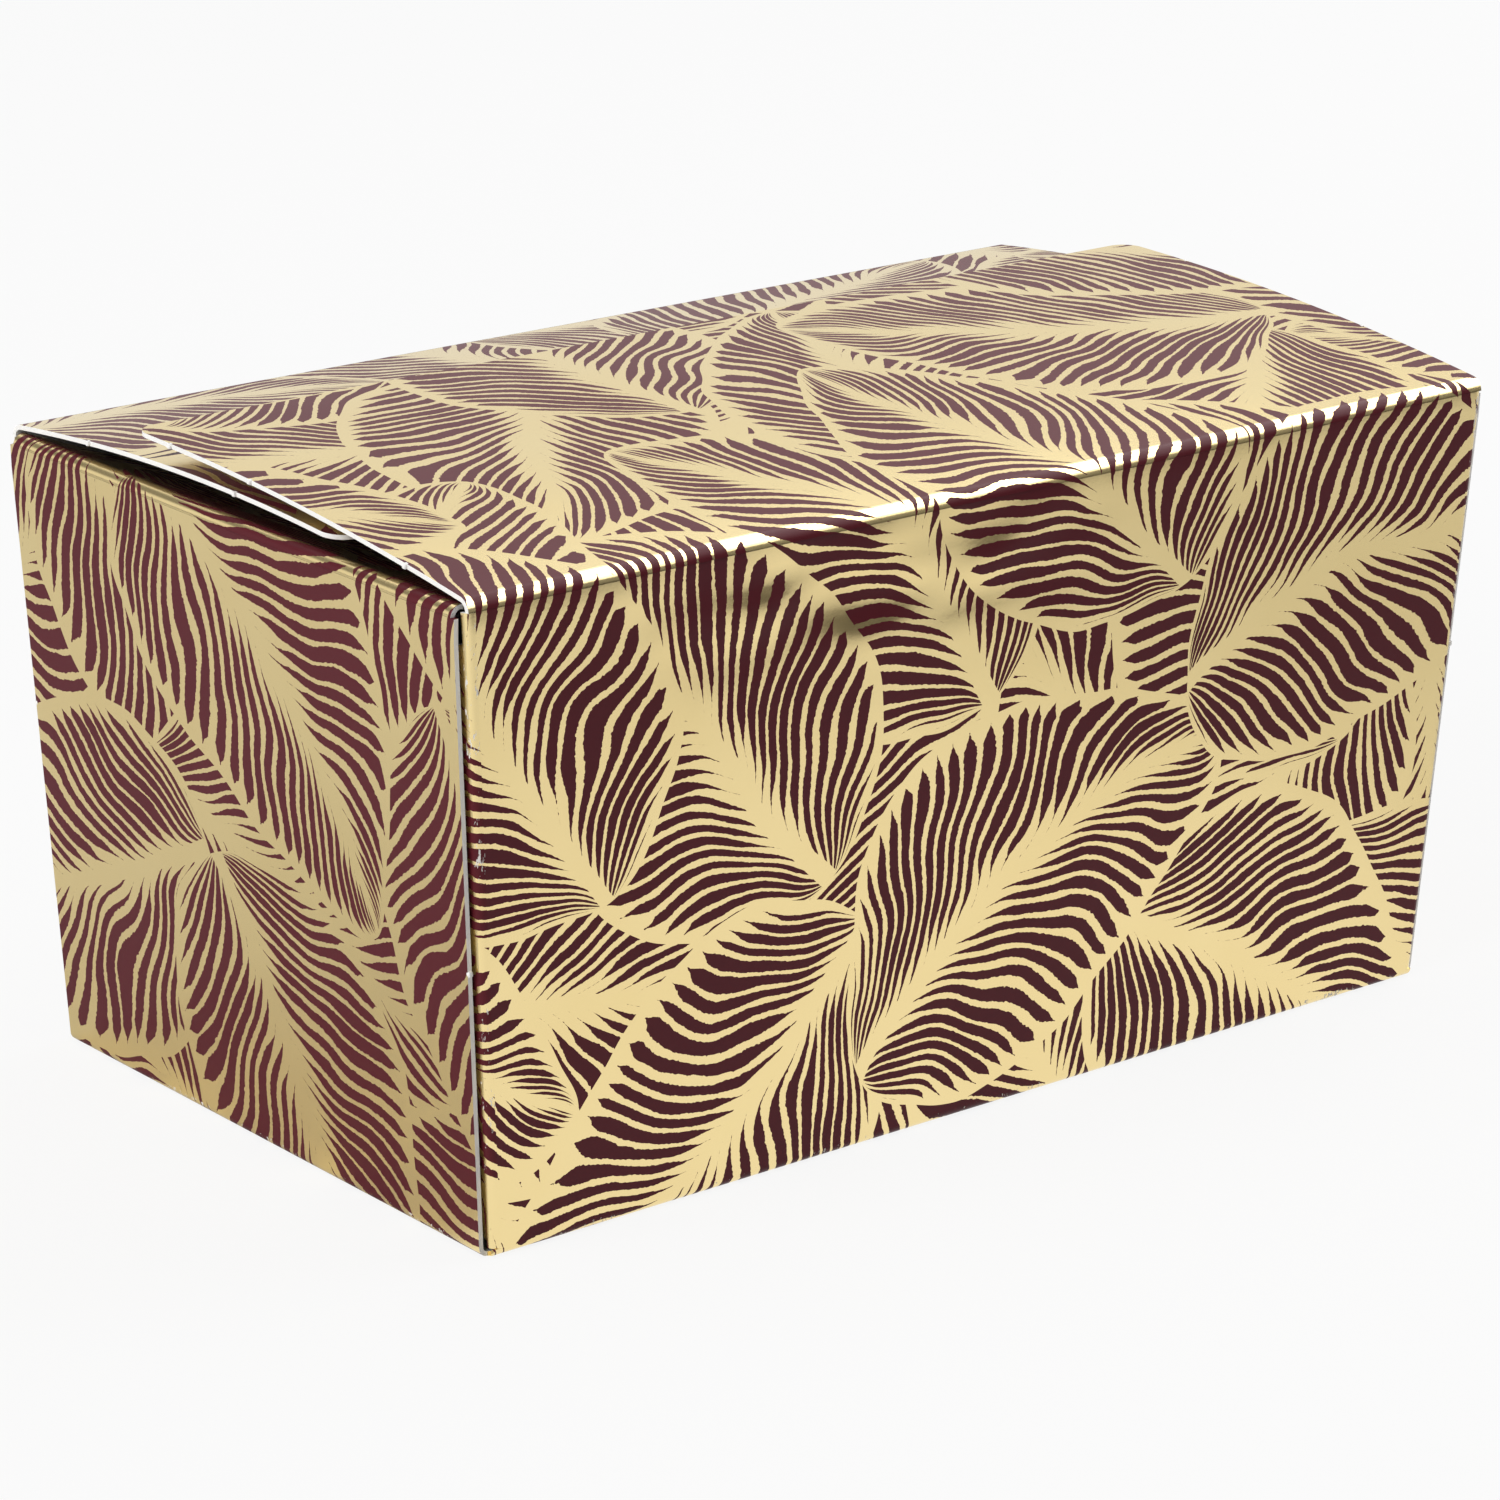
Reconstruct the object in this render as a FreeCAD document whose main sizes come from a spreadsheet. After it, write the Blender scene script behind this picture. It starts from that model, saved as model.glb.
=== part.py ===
# Ballotin chocolate box: a folding carton with tapered walls, closed by four loose flaps.
# Every panel is flat or bowed board, drawn as an outline on its own plane and padded by the
# board thickness. Sizes run from crease line to crease line, at the middle of the board.
# Frame: X along the length, front at -Y, Z up, origin on the floor under the middle of the base.

import math
import os

import FreeCAD
import Part
import Sketcher

# Driving sizes in millimetres, angles in degrees. A reach share is a share of the rim depth,
# and a bow share is the bow's radius as a share of the reach.
driving_sizes = {
    "board_thickness": "0.5",
    "base_length": "130.5",
    "base_depth": "75.5",
    "rim_length": "139.5",
    "rim_depth": "79.5",
    "rim_height": "68.5",
    "end_rim_drop": "0.2",
    "crease_gap": "0.45",
    "seam_gap": "0.05",
    "end_wall_inset": "1.1",
    "glue_thickness": "0.08",
    "glue_flap_width": "14",
    "glue_flap_taper": "5",
    "glue_flap_end_gap": "4",
    "glue_seam_width": "7",
    "glue_seam_end_gap": "12",
    "lid_side_inset": "0.95",
    "lid_corner_radius": "2.5",
    "front_lid_reach_share": "0.717",
    "front_lid_bow_share": "7.0",
    "front_lid_lift_angle": "8.5",
    "back_flap_reach_share": "0.73",
    "back_flap_bow_share": "5.2",
    "back_flap_lift_angle": "6.5",
    "end_flap_reach": "38",
    "end_flap_droop_angle": "20",
    "end_flap_side_gap": "1.2",
    "end_flap_cutback": "16",
    "end_flap_corner_radius": "5",
}

document = FreeCAD.newDocument("chocolate_box")
sheet = document.addObject("Spreadsheet::Sheet", "Sizes")
for row, (alias, text) in enumerate(driving_sizes.items(), start=1):
    sheet.set(f"A{row}", alias)
    sheet.set(f"B{row}", text)
    sheet.setAlias(f"B{row}", alias)
document.recompute()

# Derived sizes, written as expressions of the sheet
board = "Sizes.board_thickness"
half_board = f"({board} / 2)"
setback = f"({half_board} + Sizes.crease_gap)"
panel_start = f"({setback} + Sizes.seam_gap)"
end_lean = "atan((Sizes.rim_length - Sizes.base_length) / 2 / Sizes.rim_height)"
long_lean = "atan((Sizes.rim_depth - Sizes.base_depth) / 2 / Sizes.rim_height)"
end_slant = f"(Sizes.rim_height / cos({end_lean}))"
long_slant = f"(Sizes.rim_height / cos({long_lean}))"
end_crease_height = "(Sizes.rim_height - Sizes.end_rim_drop)"
end_crease_slant = f"({end_crease_height} / cos({end_lean}))"
glue_flap_shift = f"(({board} + Sizes.glue_thickness) / cos({end_lean}))"
lid_half_width = "(Sizes.rim_length / 2 - Sizes.lid_side_inset)"
flap_root_half_width = f"(Sizes.rim_depth / 2 - {half_board} - Sizes.end_flap_side_gap)"


def half_length_at(share):
    """Half the length between the end walls, at a share of the way from base crease to rim."""
    return f"(Sizes.base_length / 2 + (Sizes.rim_length - Sizes.base_length) / 2 * {share})"


def half_depth_at(share):
    """Half the depth between the long walls, at a share of the way from base crease to rim."""
    return f"(Sizes.base_depth / 2 + (Sizes.rim_depth - Sizes.base_depth) / 2 * {share})"


def signed(sign, expression):
    """An expression on the plus or minus side of the middle."""
    return expression if sign > 0 else f"-({expression})"


def number(expression):
    """The present value of an expression."""
    value = sheet.evalExpression(expression)
    return float(getattr(value, "Value", value))


def new_body(label):
    body = document.addObject("PartDesign::Body", label)
    body.Label = label
    return body


def new_sketch(body, name, plane_role):
    """A sketch on one of the body's own origin planes."""
    sketch = body.newObject("Sketcher::SketchObject", name)
    planes = [feature for feature in body.Origin.OriginFeatures if feature.Role == plane_role]
    sketch.AttachmentSupport = [(planes[0], "")]
    sketch.MapMode = "FlatFace"
    return sketch


def bind_datum(sketch, kind, elements, expression):
    """A dimension of a sketch that follows an expression."""
    value = number(expression)
    if kind == "Angle":
        value = math.radians(value)
    index = sketch.addConstraint(Sketcher.Constraint(kind, *elements, value))
    sketch.setExpression(f"Constraints[{index}]", expression)


def polygon_sketch(body, name, plane_role, corners):
    """A closed outline whose corners are pairs of expressions."""
    sketch = new_sketch(body, name, plane_role)
    points = [FreeCAD.Vector(number(across), number(up), 0) for across, up in corners]
    count = len(points)
    for index in range(count):
        sketch.addGeometry(Part.LineSegment(points[index], points[(index + 1) % count]), False)
    for index in range(count):
        sketch.addConstraint(Sketcher.Constraint("Coincident", index, 2, (index + 1) % count, 1))
    for index, (across, up) in enumerate(corners):
        bind_datum(sketch, "DistanceX", (-1, 1, index, 1), across)
        bind_datum(sketch, "DistanceY", (-1, 1, index, 1), up)
    return sketch


def band_sketch(body, name, plane_role, centre, radius, angles):
    """A strip of board seen on edge: two arcs round one centre, a board thickness apart."""
    sketch = new_sketch(body, name, plane_role)
    inner = f"{radius} - {half_board}"
    outer = f"{radius} + {half_board}"
    middle = FreeCAD.Vector(number(centre[0]), number(centre[1]), 0)
    start, finish = [math.radians(number(angle)) for angle in angles]
    for rim in (outer, inner):
        circle = Part.Circle(middle, FreeCAD.Vector(0, 0, 1), number(rim))
        sketch.addGeometry(Part.ArcOfCircle(circle, start, finish), False)
    for angle in (start, finish):
        ray = FreeCAD.Vector(math.cos(angle), math.sin(angle), 0)
        near = middle + ray * number(inner)
        far = middle + ray * number(outer)
        sketch.addGeometry(Part.LineSegment(near, far), False)
    for line, arc_end in ((2, 1), (3, 2)):
        sketch.addConstraint(Sketcher.Constraint("Coincident", line, 1, 1, arc_end))
        sketch.addConstraint(Sketcher.Constraint("Coincident", line, 2, 0, arc_end))
    sketch.addConstraint(Sketcher.Constraint("Coincident", 0, 3, 1, 3))
    sketch.addConstraint(Sketcher.Constraint("PointOnObject", 0, 3, 2))
    sketch.addConstraint(Sketcher.Constraint("PointOnObject", 0, 3, 3))
    bind_datum(sketch, "DistanceX", (-1, 1, 0, 3), centre[0])
    bind_datum(sketch, "DistanceY", (-1, 1, 0, 3), centre[1])
    bind_datum(sketch, "Radius", (0,), outer)
    bind_datum(sketch, "Radius", (1,), inner)
    bind_datum(sketch, "Angle", (2,), angles[0])
    bind_datum(sketch, "Angle", (3,), angles[1])
    return sketch


def pad_both_ways(body, sketch, length):
    """A pad that grows by half its length to each side of the sketch."""
    pad = body.newObject("PartDesign::Pad", "pad")
    pad.Profile = sketch
    pad.SideType = "Symmetric"
    pad.setExpression("Length", length)
    document.recompute()
    return pad


def place(body, base, axis, angle):
    """Fold a body to its angle about one axis and move it to its base point."""
    body.Placement = FreeCAD.Placement(FreeCAD.Vector(), FreeCAD.Rotation(FreeCAD.Vector(*axis), 1))
    for letter, expression in zip("xyz", base):
        body.setExpression(f"Placement.Base.{letter}", expression)
    body.setExpression("Placement.Rotation.Angle", angle)


def round_free_corners(body, pad, chosen, radius):
    """Round the upright edges of a pad that the test picks out."""
    names = []
    for index, edge in enumerate(pad.Shape.Edges, start=1):
        if abs(edge.Length - number(board)) < number(board) / 100 and chosen(edge.CenterOfMass):
            names.append(f"Edge{index}")
    fillet = body.newObject("PartDesign::Fillet", "rounding")
    fillet.Base = (pad, names)
    fillet.setExpression("Radius", radius)
    body.Tip = fillet


# Base panel
base_panel = new_body("base_panel")
base_half_length = f"Sizes.base_length / 2 - {panel_start}"
base_half_depth = f"Sizes.base_depth / 2 - {panel_start}"
base_outline = polygon_sketch(base_panel, "outline", "XY_Plane", [
    (f"-({base_half_length})", f"-({base_half_depth})"),
    (base_half_length, f"-({base_half_depth})"),
    (base_half_length, base_half_depth),
    (f"-({base_half_length})", base_half_depth),
])
pad_both_ways(base_panel, base_outline, board)
place(base_panel, ("0", "0", half_board), (1, 0, 0), "0")

# Long walls, leaning outwards
long_wall_low = panel_start
long_wall_high = f"({long_slant} - {setback})"


def long_wall_half_width(slant):
    """Half the width of a long wall between its upright folds."""
    return f"({half_length_at(f'{slant} / {long_slant}')} - {glue_flap_shift} - {panel_start})"


for name, side in (("front_wall", -1), ("back_wall", 1)):
    wall = new_body(name)
    outline = polygon_sketch(wall, "outline", "XZ_Plane", [
        (f"-{long_wall_half_width(long_wall_low)}", long_wall_low),
        (long_wall_half_width(long_wall_low), long_wall_low),
        (long_wall_half_width(long_wall_high), long_wall_high),
        (f"-{long_wall_half_width(long_wall_high)}", long_wall_high),
    ])
    pad_both_ways(wall, outline, board)
    place(wall, ("0", signed(side, "Sizes.base_depth / 2"), half_board), (1, 0, 0), signed(-side, long_lean))

# End walls, whose cut upright edges stop short of the faces of the long walls
end_wall_low = panel_start
end_wall_high = f"({end_crease_slant} - {setback})"


def end_wall_half_width(slant):
    """Half the width of an end wall between its cut edges."""
    return f"({half_depth_at(f'{slant} / {end_slant}')} + {half_board} - Sizes.end_wall_inset)"


for name, side in (("left_end_wall", -1), ("right_end_wall", 1)):
    wall = new_body(name)
    outline = polygon_sketch(wall, "outline", "YZ_Plane", [
        (f"-{end_wall_half_width(end_wall_low)}", end_wall_low),
        (end_wall_half_width(end_wall_low), end_wall_low),
        (end_wall_half_width(end_wall_high), end_wall_high),
        (f"-{end_wall_half_width(end_wall_high)}", end_wall_high),
    ])
    pad_both_ways(wall, outline, board)
    place(wall, (signed(side, "Sizes.base_length / 2"), "0", half_board), (0, 1, 0), signed(side, end_lean))

# Base folds, where the base turns up into the walls
for name, side, lean, half_base, half_width, plane_role in (
    ("front_base_fold", -1, long_lean, "Sizes.base_depth / 2", long_wall_half_width(long_wall_low), "YZ_Plane"),
    ("back_base_fold", 1, long_lean, "Sizes.base_depth / 2", long_wall_half_width(long_wall_low), "YZ_Plane"),
    ("left_base_fold", -1, end_lean, "Sizes.base_length / 2", end_wall_half_width(end_wall_low), "XZ_Plane"),
    ("right_base_fold", 1, end_lean, "Sizes.base_length / 2", end_wall_half_width(end_wall_low), "XZ_Plane"),
):
    fold = new_body(name)
    fold_radius = f"({setback} / tan(45 deg - {lean} / 2))"
    centre = (signed(side, f"{half_base} - {setback}"), f"{half_board} + {fold_radius}")
    if side < 0:
        angles = (f"180 deg + {lean}", "270 deg")
    else:
        angles = ("270 deg", f"360 deg - {lean}")
    profile = band_sketch(fold, "profile", plane_role, centre, fold_radius, angles)
    pad_both_ways(fold, profile, f"2 * {half_width}")

# Corner folds, glue flaps and glue seams at the four upright corners
corner_fold_low = f"(2 * {setback})"
corner_fold_high = f"(Sizes.rim_height - {setback} - Sizes.seam_gap)"
glue_flap_low = "Sizes.glue_flap_end_gap"
glue_flap_high = f"({end_crease_slant} - Sizes.glue_flap_end_gap)"
glue_seam_low = "Sizes.glue_seam_end_gap"
glue_seam_high = f"({end_crease_slant} - Sizes.glue_seam_end_gap)"
glue_seam_start = f"({panel_start} + (Sizes.glue_flap_width - Sizes.glue_seam_width) / 2)"
glue_seam_shift = f"(({half_board} + Sizes.glue_thickness / 2) / cos({end_lean}))"


def from_long_wall(slant, distance, side):
    """A place on the slope of an end wall, measured inwards from a long wall."""
    return signed(side, f"{half_depth_at(f'{slant} / {end_slant}')} - {distance}")


for corner_name, end_side, long_side, arc_start in (
    ("front_left", -1, -1, "180 deg"),
    ("front_right", 1, -1, "270 deg"),
    ("back_right", 1, 1, "0 deg"),
    ("back_left", -1, 1, "90 deg"),
):
    fold = new_body(f"{corner_name}_corner_fold")
    sections = []
    for level_name, level in (("low_section", corner_fold_low), ("high_section", corner_fold_high)):
        share = f"{level} / Sizes.rim_height"
        centre = (
            signed(end_side, f"{half_length_at(share)} - {glue_flap_shift} - {setback}"),
            signed(long_side, f"{half_depth_at(share)} - {setback}"),
        )
        section = band_sketch(fold, level_name, "XY_Plane", centre, setback, (arc_start, f"{arc_start} + 90 deg"))
        section.setExpression("AttachmentOffset.Base.z", f"{half_board} + {level}")
        sections.append(section)
    document.recompute()
    loft = fold.newObject("PartDesign::AdditiveLoft", "loft")
    loft.Profile = sections[0]
    loft.Sections = [sections[1]]
    loft.Ruled = True

    flap = new_body(f"{corner_name}_glue_flap")
    flap_end = f"({panel_start} + Sizes.glue_flap_width)"
    flap_low_taper = f"({glue_flap_low} + Sizes.glue_flap_taper)"
    flap_high_taper = f"({glue_flap_high} - Sizes.glue_flap_taper)"
    outline = polygon_sketch(flap, "outline", "YZ_Plane", [
        (from_long_wall(glue_flap_low, panel_start, long_side), glue_flap_low),
        (from_long_wall(flap_low_taper, flap_end, long_side), flap_low_taper),
        (from_long_wall(flap_high_taper, flap_end, long_side), flap_high_taper),
        (from_long_wall(glue_flap_high, panel_start, long_side), glue_flap_high),
    ])
    pad_both_ways(flap, outline, board)
    flap_base = signed(end_side, f"Sizes.base_length / 2 - {glue_flap_shift}")
    place(flap, (flap_base, "0", half_board), (0, 1, 0), signed(end_side, end_lean))

    seam = new_body(f"{corner_name}_glue_seam")
    seam_end = f"({glue_seam_start} + Sizes.glue_seam_width)"
    outline = polygon_sketch(seam, "outline", "YZ_Plane", [
        (from_long_wall(glue_seam_low, glue_seam_start, long_side), glue_seam_low),
        (from_long_wall(glue_seam_low, seam_end, long_side), glue_seam_low),
        (from_long_wall(glue_seam_high, seam_end, long_side), glue_seam_high),
        (from_long_wall(glue_seam_high, glue_seam_start, long_side), glue_seam_high),
    ])
    pad_both_ways(seam, outline, "Sizes.glue_thickness")
    seam_base = signed(end_side, f"Sizes.base_length / 2 - {glue_seam_shift}")
    place(seam, (seam_base, "0", half_board), (0, 1, 0), signed(end_side, end_lean))

# Front lid and back flap: bowed boards that rise from their hinge creases
rim_crease_height = f"({half_board} + Sizes.rim_height)"
for name, side in (("front_lid", -1), ("back_flap", 1)):
    lid = new_body(name)
    lift = f"(Sizes.{name}_lift_angle * 1 deg)"
    reach = f"(Sizes.{name}_reach_share * Sizes.rim_depth)"
    bow_radius = f"({reach} * Sizes.{name}_bow_share)"
    span = f"(({reach} - {setback}) / {bow_radius} * 180 deg / pi)"
    away_from_hinge = f"{setback} * cos({lift}) + {bow_radius} * sin({lift})"
    centre = (signed(-side, away_from_hinge), f"{setback} * sin({lift}) - {bow_radius} * cos({lift})")
    if side < 0:
        angles = (f"90 deg + {lift} - {span}", f"90 deg + {lift}")
    else:
        angles = (f"90 deg - {lift}", f"90 deg - {lift} + {span}")
    profile = band_sketch(lid, "profile", "YZ_Plane", centre, bow_radius, angles)
    pad = pad_both_ways(lid, profile, f"2 * {lid_half_width}")
    half_reach = number(f"{reach} / 2")
    round_free_corners(lid, pad, lambda place_of_edge: abs(place_of_edge.y) > half_reach, "Sizes.lid_corner_radius")
    place(lid, ("0", signed(side, "Sizes.rim_depth / 2"), rim_crease_height), (1, 0, 0), "0")

    crease = document.addObject("Part::Cylinder", f"{name}_crease")
    crease.setExpression("Radius", half_board)
    crease.setExpression("Height", f"2 * {lid_half_width}")
    place(crease, (f"-{lid_half_width}", signed(side, "Sizes.rim_depth / 2"), rim_crease_height), (0, 1, 0), "90")

# End flaps, drooping into the box from the lower rims of the end walls
end_rim_share = f"({end_crease_height} / Sizes.rim_height)"
flap_tip_half_width = f"({flap_root_half_width} - Sizes.end_flap_cutback)"
for name, side in (("left_end_flap", -1), ("right_end_flap", 1)):
    flap = new_body(name)
    root = signed(-side, setback)
    tip = signed(-side, "Sizes.end_flap_reach")
    outline = polygon_sketch(flap, "outline", "XY_Plane", [
        (root, f"-{flap_root_half_width}"),
        (tip, f"-{flap_tip_half_width}"),
        (tip, flap_tip_half_width),
        (root, flap_root_half_width),
    ])
    pad = pad_both_ways(flap, outline, board)
    half_reach = number("Sizes.end_flap_reach / 2")
    round_free_corners(flap, pad, lambda place_of_edge: abs(place_of_edge.x) > half_reach, "Sizes.end_flap_corner_radius")
    hinge = (signed(side, half_length_at(end_rim_share)), "0", f"{half_board} + {end_crease_height}")
    place(flap, hinge, (0, 1, 0), signed(-side, "Sizes.end_flap_droop_angle"))

    crease = document.addObject("Part::Cylinder", f"{name}_crease")
    crease.setExpression("Radius", half_board)
    crease.setExpression("Height", f"2 * {flap_root_half_width}")
    place(crease, (hinge[0], f"-{flap_root_half_width}", hinge[2]), (1, 0, 0), "-90")

document.recompute()

# Check every object and write one file for each piece
for item in document.Objects:
    if "Invalid" in item.State or "Error" in item.State:
        raise RuntimeError(f"{item.Label} did not build")

os.makedirs("parts", exist_ok=True)
for item in document.Objects:
    if item.TypeId not in ("PartDesign::Body", "Part::Cylinder"):
        continue
    if item.Shape.isNull() or not item.Shape.isValid():
        raise RuntimeError(f"{item.Label} has no valid shape")
    item.Shape.exportStep(f"parts/{item.Label}.step")
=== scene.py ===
# Looks of the chocolate box: every panel is cut flat from the board, then folded to its place.
import math

import bpy
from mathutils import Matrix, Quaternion, Vector, noise


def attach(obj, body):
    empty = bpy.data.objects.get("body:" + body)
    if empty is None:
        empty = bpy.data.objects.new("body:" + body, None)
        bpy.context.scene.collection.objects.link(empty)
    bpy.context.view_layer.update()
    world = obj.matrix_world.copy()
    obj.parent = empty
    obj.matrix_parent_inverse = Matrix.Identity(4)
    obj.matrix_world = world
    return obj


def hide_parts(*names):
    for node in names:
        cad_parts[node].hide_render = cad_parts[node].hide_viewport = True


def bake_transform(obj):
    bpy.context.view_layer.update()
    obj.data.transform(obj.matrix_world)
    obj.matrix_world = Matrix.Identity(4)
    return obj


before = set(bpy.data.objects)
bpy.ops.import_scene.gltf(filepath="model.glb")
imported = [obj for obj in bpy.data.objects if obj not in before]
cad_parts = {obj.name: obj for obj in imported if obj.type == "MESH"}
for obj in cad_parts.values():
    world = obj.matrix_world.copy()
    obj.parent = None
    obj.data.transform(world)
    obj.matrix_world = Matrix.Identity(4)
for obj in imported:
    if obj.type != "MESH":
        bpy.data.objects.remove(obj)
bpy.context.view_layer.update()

# Sizes of the carton in metres, from crease line to crease line at the middle of the board
board = 0.0005
base_length = 0.1305
base_depth = 0.0755
rim_length = 0.1395
rim_depth = 0.0795
rim_height = 0.0685
end_rim_drop = 0.0002
end_wall_inset = 0.0011
corner_slot = 0.0003

# How far a fold reaches from its crease line, and how the walls lean in under the rim
setback = 0.0007
lid_fold_reach = 0.001
end_fold_reach = 0.0014
shoulder_height = 0.0022
shoulder_drop = 0.00012

# Glue flaps
glue_thickness = 0.00008
glue_flap_width = 0.014
glue_flap_taper = 0.005
glue_flap_end_gap = 0.004
glue_flap_foot_gap = 0.0014

# Lids, with their reach as a share of the rim's depth and their bow as a share of the reach
lid_side_inset = 0.00095
lid_half_width = rim_length / 2 - lid_side_inset
lid_corner_radius = 0.0025
front_lid_reach_share = 0.717
front_lid_reach = front_lid_reach_share * rim_depth
front_lid_bow_share = 7.0
front_lid_bow = front_lid_bow_share * front_lid_reach
front_lid_lift = math.radians(8.5)
back_flap_reach_share = 0.73
back_flap_reach = back_flap_reach_share * rim_depth
back_flap_bow_share = 5.2
back_flap_bow = back_flap_bow_share * back_flap_reach
back_flap_lift = math.radians(6.5)

# End flaps
end_flap_reach = 0.038
end_flap_droop = math.radians(20)
end_flap_side_gap = 0.0012
end_flap_cutback = 0.016
end_flap_root_half_width = rim_depth / 2 - board / 2 - end_flap_side_gap
end_flap_tip_half_width = end_flap_root_half_width - end_flap_cutback
end_flap_corner_radius = 0.005

# Torn nicks on the cut edges: the side, and the place along the edge from its crease line
nick_size = 0.0006
nick_thickness = board * 1.1
nick_rounding = 0.00016
nick_raggedness = 0.00007
nick_waves = 2600
nick_shift = 0.01
end_wall_nicks = ((1, 0.0304), (-1, 0.0385))
front_lid_nicks = ((-1, 0.0502), (-1, 0.0361), (-1, 0.01), (1, 0.047), (1, 0.0185))
back_flap_nicks = ((1, 0.041), (1, 0.0145), (-1, 0.0325))

# Unevenness of the walls, and the dents under the front fold
long_wall_slack = 0.00022
end_wall_slack = 0.00016
long_slack_seed = 3.1
end_slack_seed = 7.3
slack_waves = 38
slack_seed_step = 3.7
dent_middle = (-0.017, 0.0615)
dent_half_width = 0.027
dent_half_height = 0.006
dent_depth = 0.0008
dent_inward_share = 0.4

# Squares of each flat sheet, across and up
base_squares = (24, 14)
long_wall_squares = (96, 64)
end_wall_squares = (32, 28)
base_fold_squares = (40, 8)
corner_fold_squares = (64, 8)
glue_flap_squares = (8, 28)
lid_squares = (56, 28)
lid_fold_squares = (64, 12)
end_flap_squares = (32, 18)
end_flap_fold_squares = (40, 12)

# Cutting and smoothing
square_corners = (0, 0, 0, 0)
cuts_per_round_corner = 7
cut_tolerance = 1e-7
edge_tolerance = 1e-6
smooth_angle = math.radians(40)
printed_side, plain_side, cut_side = 0, 1, 2

# Sizes that follow from them
end_lean = math.atan((rim_length - base_length) / 2 / rim_height)
long_lean = math.atan((rim_depth - base_depth) / 2 / rim_height)
end_slant = rim_height / math.cos(end_lean)
long_slant = rim_height / math.cos(long_lean)
end_crease_height = rim_height - end_rim_drop
end_crease_slant = end_crease_height / math.cos(end_lean)
glue_flap_shift = (board + glue_thickness) / math.cos(end_lean)
corner_half = base_length / 2 - glue_flap_shift - corner_slot
crease_ground = board / 2
rim_crease_height = crease_ground + rim_height

along_length = Vector((1, 0, 0))
along_depth = Vector((0, 1, 0))
upwards = Vector((0, 0, 1))
long_sides = (("front", -1), ("back", 1))
end_sides = (("left", -1), ("right", 1))

# Sockets of the Mix node, which has a set for each kind of value
mix_factor = 0
first_vector, second_vector, vector_result = 4, 5, 1
first_colour, second_colour, colour_result = 6, 7, 2


# Shader maths

class Wire:
    """A socket in a material, with arithmetic that adds Math nodes."""

    def __init__(self, ink, socket):
        self.ink = ink
        self.socket = socket

    def math(self, operation, *values):
        node = self.ink.node("ShaderNodeMath", {"operation": operation}, dict(enumerate(values)))
        return node.wire("Value")

    def __add__(self, other):
        return self.math("ADD", self, other)

    __radd__ = __add__

    def __sub__(self, other):
        return self.math("SUBTRACT", self, other)

    def __rsub__(self, other):
        return self.math("SUBTRACT", other, self)

    def __mul__(self, other):
        return self.math("MULTIPLY", self, other)

    __rmul__ = __mul__

    def __truediv__(self, other):
        return self.math("DIVIDE", self, other)

    def __rtruediv__(self, other):
        return self.math("DIVIDE", other, self)

    def __pow__(self, other):
        return self.math("POWER", self, other)

    def __lt__(self, other):
        return self.math("LESS_THAN", self, other)

    def __gt__(self, other):
        return self.math("GREATER_THAN", self, other)

    def __abs__(self):
        return self.math("ABSOLUTE", self)

    def floor(self):
        return self.math("FLOOR", self)

    def at_least(self, other):
        return self.math("MAXIMUM", self, other)


class Step:
    """A node in a material, which gives its outputs as wires."""

    def __init__(self, ink, node):
        self.ink = ink
        self.node = node

    def wire(self, name):
        return Wire(self.ink, self.node.outputs[name])


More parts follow.
